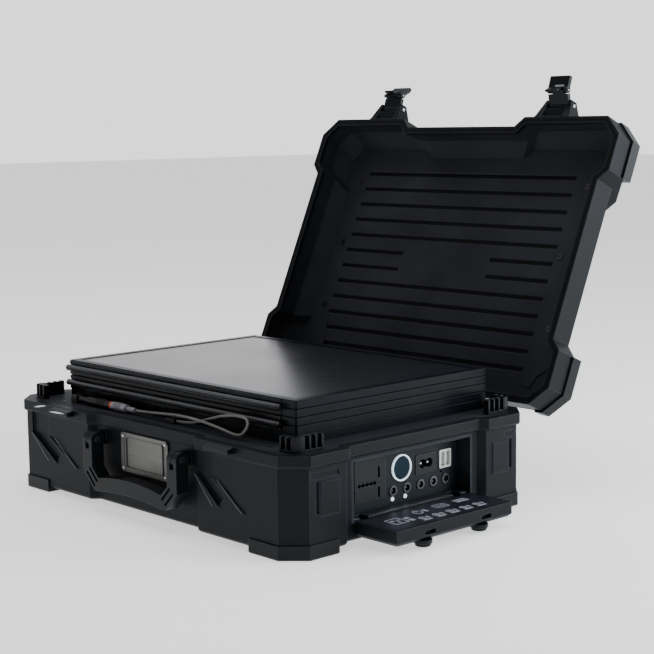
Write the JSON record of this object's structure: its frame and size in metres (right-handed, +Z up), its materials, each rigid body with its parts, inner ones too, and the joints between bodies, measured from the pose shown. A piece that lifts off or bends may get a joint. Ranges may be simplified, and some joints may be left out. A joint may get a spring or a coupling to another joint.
{
  "type": "solar suitcase kit",
  "caption": "Hard black carrying case with a folding solar panel stack on its deck, a lid on rear hinges, and a side bay of power sockets behind a drop-down door.",
  "frame": {"origin": "Bottom centre of the object's bounding box, on the floor the feet stand on.", "axes": "+Z up; +X towards the port bay along the case's long side; +Y from the handle to the lid hinges."},
  "size_m": [0.446, 0.4614, 0.3841],
  "materials": {
    "shell_plastic": "Injection-moulded charcoal ABS with a fine spark texture.",
    "guard_plastic": "Harder moulded black plastic on corners, feet and latches.",
    "liner_plastic": "Smooth black plastic inside the lid and on the deck.",
    "seal_rubber": "Black closed-cell rubber seal.",
    "frame_metal": "Black anodised aluminium frame of a solar panel.",
    "laminate": "Dark satin back sheet with the cells on its other face.",
    "hinge_steel": "Dark burnished steel hinge pins and leaves.",
    "screw_steel": "Zinc-plated steel screws.",
    "plate_metal": "Brushed warm-grey metal nameplate, no lettering.",
    "faceplate": "Dark grey moulded front of the port bay.",
    "socket_plastic": "Black moulded socket and inlet.",
    "white_plastic": "White moulded plastic of the USB sockets.",
    "light": "Clear and white light guides.",
    "button_cap": "Dark blue-black glossy button cap.",
    "jack_metal": "Nickel-plated jack barrels and pins.",
    "label_sheet": null,
    "battery_wrap": "Blue heat-shrink around the battery cells.",
    "board": "Green glass-fibre circuit board with moulded components.",
    "connector_plastic": "Black connector housings.",
    "plug_plastic": "Pale grey plug sleeve.",
    "seal_orange": "Orange-red sealing ring.",
    "lead_jacket": "Dark flexible cable jacket."
  },
  "bodies": {
    "base": {"base_shell": "shell_plastic", "corner_feet": "guard_plastic", "deck_plate": "liner_plastic", "deck_screws": "screw_steel", "corner_posts": "guard_plastic", "battery_pack": "battery_wrap", "power_board": "board", "hinge_base_brackets": "guard_plastic", "lid_hinge_pins": "hinge_steel", "port_bay": "faceplate", "door_hinge_pins": "hinge_steel", "port_faceplate": "faceplate", "socket_module": "socket_plastic", "mains_inlet": "socket_plastic", "usb_module": "white_plastic", "dc_jacks": "jack_metal", "status_lights": "light", "button_housing": "socket_plastic", "handle_pins": "hinge_steel", "name_plate": "plate_metal", "latch_strikers": "guard_plastic", "panel_tray": "frame_metal", "panel_d_frame": "frame_metal", "panel_d_laminate": "laminate", "panel_d_hinge_leaf": "hinge_steel", "panel_cd_hinge_pin": "hinge_steel", "array_lead": "lead_jacket", "lead_plug": "plug_plastic", "plug_seal_ring": "seal_orange", "lead_socket": "connector_plastic", "deck_glands": "connector_plastic"},
    "lid": {"hinge_lid_brackets": "guard_plastic", "lid_seal": "seal_rubber", "lid_liner": "liner_plastic", "liner_screws": "screw_steel", "lid_corner_guards": "guard_plastic", "lid_shell": "shell_plastic", "latch_brackets": "guard_plastic", "latch_pins": "hinge_steel"},
    "latch_left_claw": {"latch_left_claw": "guard_plastic"},
    "latch_left_lever": {"latch_left_lever": "guard_plastic"},
    "latch_right_claw": {"latch_right_claw": "guard_plastic"},
    "latch_right_lever": {"latch_right_lever": "guard_plastic"},
    "port_door": {"port_door": "shell_plastic", "door_label": "label_sheet"},
    "door_knob_front": {"door_knob_front": "guard_plastic"},
    "door_knob_rear": {"door_knob_rear": "guard_plastic"},
    "power_button": {"power_button": "button_cap"},
    "handle": {"handle_bail": "guard_plastic"},
    "panel_c": {"panel_c_frame": "frame_metal", "panel_c_laminate": "laminate", "panel_c_hinge_leaves": "hinge_steel", "panel_bc_hinge_pin": "hinge_steel"},
    "panel_b": {"panel_b_frame": "frame_metal", "panel_b_laminate": "laminate", "panel_b_hinge_leaves": "hinge_steel", "panel_ab_hinge_pin": "hinge_steel"},
    "panel_a": {"panel_a_frame": "frame_metal", "panel_a_laminate": "laminate", "panel_a_hinge_leaf": "hinge_steel"}
  },
  "joints": [
    {"name": "lid_hinge", "type": "hinge", "parent": "base", "child": "lid", "pos_m": [-0.01905, 0.07482, 0.0799], "axis": [-1, 0, 0], "range_deg": [-113.9, 0]},
    {"name": "panel_unfold", "type": "hinge", "parent": "base", "child": "panel_c", "pos_m": [-0.01905, -0.18338, 0.09965], "axis": [1, 0, 0], "range_deg": [0, 180], "deforming": ["array_lead"]},
    {"name": "panel_b_fold", "type": "hinge", "parent": "panel_c", "child": "panel_b", "pos_m": [-0.01905, 0.05402, 0.1066], "axis": [-1, 0, 0], "range_deg": [0, 180]},
    {"name": "panel_a_fold", "type": "hinge", "parent": "panel_b", "child": "panel_a", "pos_m": [-0.01905, -0.18338, 0.11355], "axis": [1, 0, 0], "range_deg": [0, 180]},
    {"name": "handle_swing", "type": "hinge", "parent": "base", "child": "handle", "pos_m": [-0.01905, -0.22418, 0.0645], "axis": [-1, 0, 0], "range_deg": [0, 90]},
    {"name": "door_hinge", "type": "hinge", "parent": "base", "child": "port_door", "pos_m": [0.16645, -0.07518, 0.014], "axis": [0, 1, 0], "range_deg": [-90, 0]},
    {"name": "button_press", "type": "slide", "parent": "base", "child": "power_button", "axis": [-1, 0, 0], "range_m": [0, 0.0015], "stiffness_N_per_m": 900, "springref_m": -0.0008},
    {"name": "knob_front_turn", "type": "hinge", "parent": "port_door", "child": "door_knob_front", "pos_m": [0.21525, -0.10918, 0.014], "axis": [0, 0, -1], "range_deg": [0, 90]},
    {"name": "knob_rear_turn", "type": "hinge", "parent": "port_door", "child": "door_knob_rear", "pos_m": [0.21525, -0.04118, 0.014], "axis": [0, 0, -1], "range_deg": [0, 90]},
    {"name": "latch_left_swing", "type": "hinge", "parent": "lid", "child": "latch_left_claw", "pos_m": [-0.13405, 0.213, 0.35446], "axis": [-1, 0, 0], "range_deg": [-82, 18]},
    {"name": "latch_left_lever", "type": "hinge", "parent": "latch_left_claw", "child": "latch_left_lever", "pos_m": [-0.13405, 0.21739, 0.36985], "axis": [-1, 0, 0], "range_deg": [-46, 14]},
    {"name": "latch_right_swing", "type": "hinge", "parent": "lid", "child": "latch_right_claw", "pos_m": [0.09595, 0.213, 0.35446], "axis": [-1, 0, 0], "range_deg": [-56, 44]},
    {"name": "latch_right_lever", "type": "hinge", "parent": "latch_right_claw", "child": "latch_right_lever", "pos_m": [0.09595, 0.2102, 0.37021], "axis": [-1, 0, 0], "range_deg": [-28, 32]}
  ],
  "couplings": [
    {"joint": "panel_b_fold", "follows": "panel_unfold", "ratio": 1},
    {"joint": "panel_a_fold", "follows": "panel_unfold", "ratio": 1}
  ]
}
